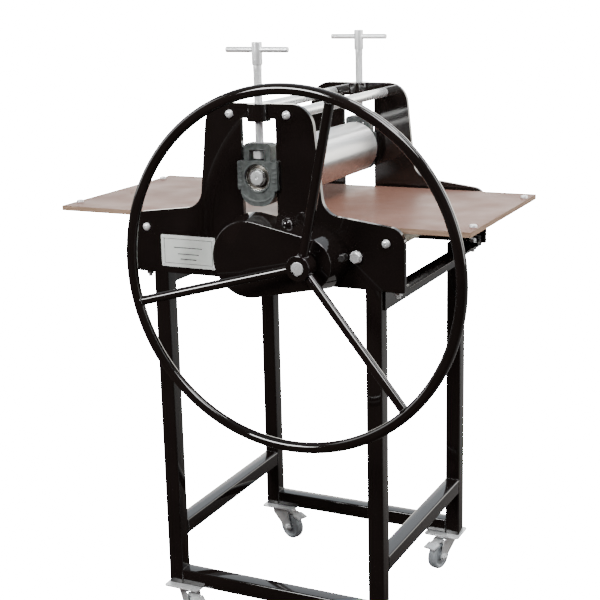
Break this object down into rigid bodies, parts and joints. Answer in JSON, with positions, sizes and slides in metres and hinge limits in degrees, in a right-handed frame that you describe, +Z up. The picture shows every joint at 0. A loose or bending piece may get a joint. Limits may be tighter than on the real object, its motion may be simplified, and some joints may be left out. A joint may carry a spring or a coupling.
{
  "type": "etching press",
  "caption": "Floor-standing hand press: a flat bed driven between two rollers by a large spoked handwheel and spur gears, on a tube stand with castors.",
  "frame": {"origin": "middle of the bounding box's footprint, on the floor", "axes": "+X along the bed travel, -Y towards the handwheel and gear guard, +Z up"},
  "size_m": [1.148, 0.8025, 1.481],
  "materials": {
    "black_enamel": "gloss black enamel",
    "zinc_fasteners": "bright zinc plate",
    "bright_steel": "ground and polished",
    "roller_steel": "ground and polished steel",
    "support_roller": "cream nylon",
    "bed_laminate": "satin phenolic laminate",
    "cast_iron": "grey-green paint on cast iron",
    "bearing_steel": "ground steel",
    "gear_steel": "cut and oiled steel",
    "castor_tread": "light grey rubber",
    "nameplate": "satin, blank engraved rows"
  },
  "bodies": {
    "press_frame": {"leg_front_left": "black_enamel", "leg_rear_left": "black_enamel", "side_rail_left": "black_enamel", "leg_front_right": "black_enamel", "leg_rear_right": "black_enamel", "side_rail_right": "black_enamel", "low_rail_front": "black_enamel", "low_rail_rear": "black_enamel", "base_angle_left": "black_enamel", "base_angle_right": "black_enamel", "foot_lugs": "black_enamel", "foot_bolts": "zinc_fasteners", "side_plate_front": "black_enamel", "side_plate_rear": "black_enamel", "tie_rods": "bright_steel", "support_axles": "bright_steel", "dome_bolts": "zinc_fasteners", "tie_bolts": "zinc_fasteners", "screw_bosses": "black_enamel", "roller_bearings": "cast_iron", "drive_sleeve": "cast_iron", "guard": "black_enamel", "guard_knob": "black_enamel", "nameplate": "nameplate", "nameplate_rivets": "zinc_fasteners", "castor_plates": "zinc_fasteners"},
    "bed": {"bed_board": "bed_laminate", "bed_stop_bolts": "zinc_fasteners"},
    "lower_roller": {"bottom_roller": "roller_steel", "bottom_shaft": "bright_steel", "drive_gear": "gear_steel"},
    "handwheel": {"wheel_rim": "black_enamel", "wheel_spokes": "black_enamel", "wheel_hub": "black_enamel", "drive_shaft": "bright_steel", "drive_pinion": "gear_steel"},
    "support_left": {"support_roller_left": "support_roller"},
    "support_right": {"support_roller_right": "support_roller"},
    "carriage": {"takeup_housing_front": "cast_iron", "takeup_housing_rear": "cast_iron", "bearing_inserts": "bearing_steel"},
    "upper_roller": {"top_roller": "roller_steel", "top_shaft": "bright_steel"},
    "screw_front": {"pressure_screw_front": "bright_steel", "tee_handle_front": "bright_steel"},
    "screw_rear": {"pressure_screw_rear": "bright_steel", "tee_handle_rear": "bright_steel"},
    "swivel_front_left": {"castor_fork_front_left": "zinc_fasteners"},
    "wheel_front_left": {"castor_wheel_front_left": "castor_tread"},
    "pedal_front_left": {"castor_pedal_front_left": "zinc_fasteners"},
    "swivel_front_right": {"castor_fork_front_right": "zinc_fasteners"},
    "wheel_front_right": {"castor_wheel_front_right": "castor_tread"},
    "pedal_front_right": {"castor_pedal_front_right": "zinc_fasteners"},
    "swivel_rear_left": {"castor_fork_rear_left": "zinc_fasteners"},
    "wheel_rear_left": {"castor_wheel_rear_left": "castor_tread"},
    "pedal_rear_left": {"castor_pedal_rear_left": "zinc_fasteners"},
    "swivel_rear_right": {"castor_fork_rear_right": "zinc_fasteners"},
    "wheel_rear_right": {"castor_wheel_rear_right": "castor_tread"},
    "pedal_rear_right": {"castor_pedal_rear_right": "zinc_fasteners"}
  },
  "joints": [
    {"name": "handwheel_turn", "type": "hinge", "parent": "press_frame", "child": "handwheel", "pos_m": [0.1635, -0.31875, 0.996], "axis": [0, 1, 0], "range_deg": [-720, 590]},
    {"name": "lower_roller_turn", "type": "hinge", "parent": "press_frame", "child": "lower_roller", "pos_m": [0.0135, 0.08075, 0.996], "axis": [0, 1, 0], "range_deg": [-395, 481]},
    {"name": "bed_travel", "type": "slide", "parent": "press_frame", "child": "bed", "axis": [1, 0, 0], "range_m": [-0.4296, 0.5241]},
    {"name": "support_roller_left_turn", "type": "hinge", "parent": "press_frame", "child": "support_left", "pos_m": [-0.2995, 0.08075, 1.0398], "axis": [0, 1, 0], "range_deg": [-1316, 1606]},
    {"name": "support_roller_right_turn", "type": "hinge", "parent": "press_frame", "child": "support_right", "pos_m": [0.3265, 0.08075, 1.0398], "axis": [0, 1, 0], "range_deg": [-1316, 1606]},
    {"name": "pressure_lift", "type": "slide", "parent": "press_frame", "child": "carriage", "axis": [0, 0, 1], "range_m": [-0.03767, 0.04]},
    {"name": "screw_front_turn", "type": "hinge", "parent": "carriage", "child": "screw_front", "pos_m": [0.0135, -0.21175, 1.464], "axis": [0, 0, 1], "range_deg": [-3391, 3601]},
    {"name": "screw_rear_turn", "type": "hinge", "parent": "carriage", "child": "screw_rear", "pos_m": [0.0135, 0.37325, 1.464], "axis": [0, 0, 1], "range_deg": [-3391, 3601]},
    {"name": "upper_roller_turn", "type": "hinge", "parent": "carriage", "child": "upper_roller", "pos_m": [0.0135, 0.08075, 1.1753], "axis": [0, 1, 0], "continuous": true},
    {"name": "swivel_front_left_turn", "type": "hinge", "parent": "press_frame", "child": "swivel_front_left", "pos_m": [-0.2415, -0.19775, 0.096], "axis": [0, 0, 1], "continuous": true},
    {"name": "wheel_front_left_roll", "type": "hinge", "parent": "swivel_front_left", "child": "wheel_front_left", "pos_m": [-0.21392, -0.22089, 0.0375], "axis": [0.6428, 0.766, 0], "continuous": true},
    {"name": "pedal_front_left_press", "type": "hinge", "parent": "swivel_front_left", "child": "pedal_front_left", "pos_m": [-0.21852, -0.21703, 0.078], "axis": [0.6428, 0.766, 0], "range_deg": [0, 10]},
    {"name": "swivel_front_right_turn", "type": "hinge", "parent": "press_frame", "child": "swivel_front_right", "pos_m": [0.2685, -0.19775, 0.096], "axis": [0, 0, 1], "continuous": true},
    {"name": "wheel_front_right_roll", "type": "hinge", "parent": "swivel_front_right", "child": "wheel_front_right", "pos_m": [0.27782, -0.23252, 0.0375], "axis": [0.9659, 0.2588, 0], "continuous": true},
    {"name": "pedal_front_right_press", "type": "hinge", "parent": "swivel_front_right", "child": "pedal_front_right", "pos_m": [0.27626, -0.22673, 0.078], "axis": [0.9659, 0.2588, 0], "range_deg": [0, 10]},
    {"name": "swivel_rear_left_turn", "type": "hinge", "parent": "press_frame", "child": "swivel_rear_left", "pos_m": [-0.2415, 0.35925, 0.096], "axis": [0, 0, 1], "continuous": true},
    {"name": "wheel_rear_left_roll", "type": "hinge", "parent": "swivel_rear_left", "child": "wheel_rear_left", "pos_m": [-0.20767, 0.34694, 0.0375], "axis": [0.342, 0.9397, 0], "continuous": true},
    {"name": "pedal_rear_left_press", "type": "hinge", "parent": "swivel_rear_left", "child": "pedal_rear_left", "pos_m": [-0.21331, 0.34899, 0.078], "axis": [0.342, 0.9397, 0], "range_deg": [0, 10]},
    {"name": "swivel_rear_right_turn", "type": "hinge", "parent": "press_frame", "child": "swivel_rear_right", "pos_m": [0.2685, 0.35925, 0.096], "axis": [0, 0, 1], "continuous": true},
    {"name": "wheel_rear_right_roll", "type": "hinge", "parent": "swivel_rear_right", "child": "wheel_rear_right", "pos_m": [0.25918, 0.32448, 0.0375], "axis": [0.9659, -0.2588, 0], "continuous": true},
    {"name": "pedal_rear_right_press", "type": "hinge", "parent": "swivel_rear_right", "child": "pedal_rear_right", "pos_m": [0.26073, 0.33027, 0.078], "axis": [0.9659, -0.2588, 0], "range_deg": [0, 10]}
  ],
  "couplings": [
    {"joint": "lower_roller_turn", "follows": "handwheel_turn", "ratio": -0.66667},
    {"joint": "bed_travel", "follows": "handwheel_turn", "m_per_rad": -0.041667},
    {"joint": "support_roller_left_turn", "follows": "handwheel_turn", "ratio": -2.2282},
    {"joint": "support_roller_right_turn", "follows": "handwheel_turn", "ratio": -2.2282},
    {"joint": "screw_front_turn", "follows": "pressure_lift", "rad_per_m": 1570.8},
    {"joint": "screw_rear_turn", "follows": "pressure_lift", "rad_per_m": 1570.8}
  ]
}
